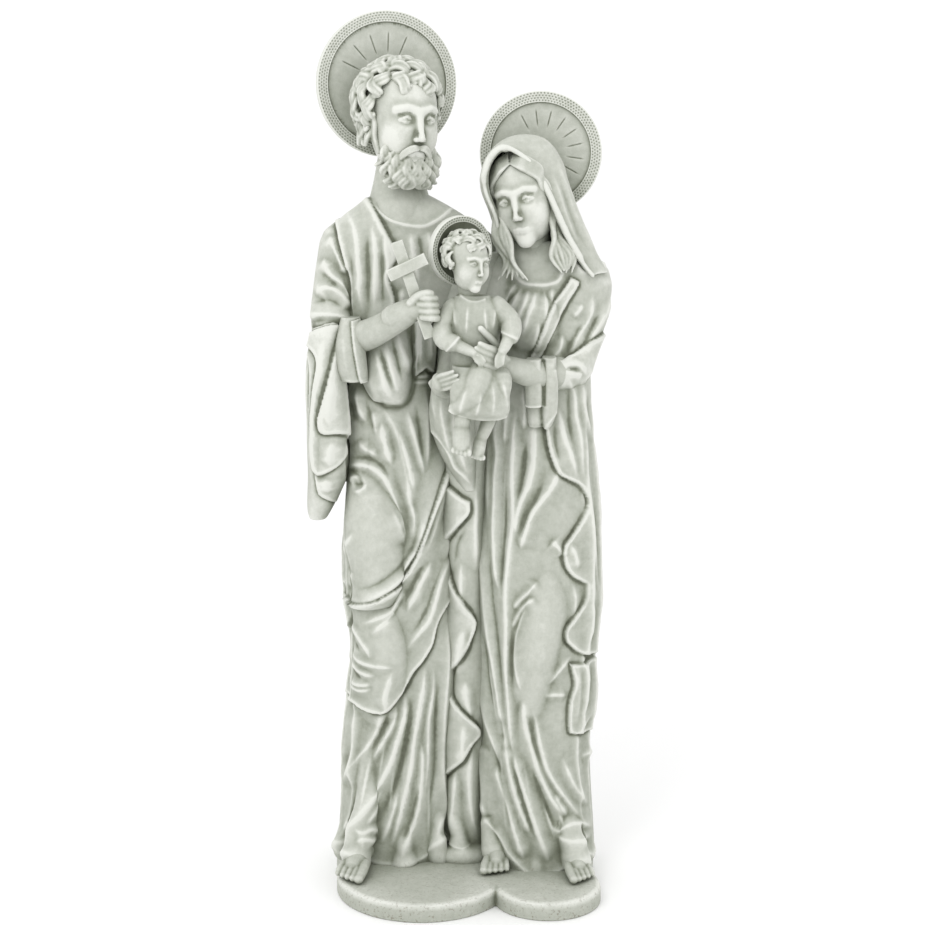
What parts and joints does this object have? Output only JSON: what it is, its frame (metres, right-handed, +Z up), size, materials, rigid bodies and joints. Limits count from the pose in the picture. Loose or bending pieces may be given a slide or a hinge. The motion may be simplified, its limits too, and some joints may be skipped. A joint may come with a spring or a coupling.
{
  "type": "holy family statue",
  "caption": "Garden statue of a bearded man, a veiled woman and a child, each with a halo, cast as one on a low lobed plinth in pale antique stone finish.",
  "frame": {"origin": "middle of the plinth's width on its flat underside, in line with the seam between the two figures", "axes": "+Z up to the haloes, -Y the side that the figures face, +X the woman's side"},
  "size_m": [0.4386, 0.3271, 1.2331],
  "materials": {
    "antique_stone": "matte"
  },
  "bodies": {
    "root": {"holy_family_statue": "antique_stone"}
  },
  "joints": []
}
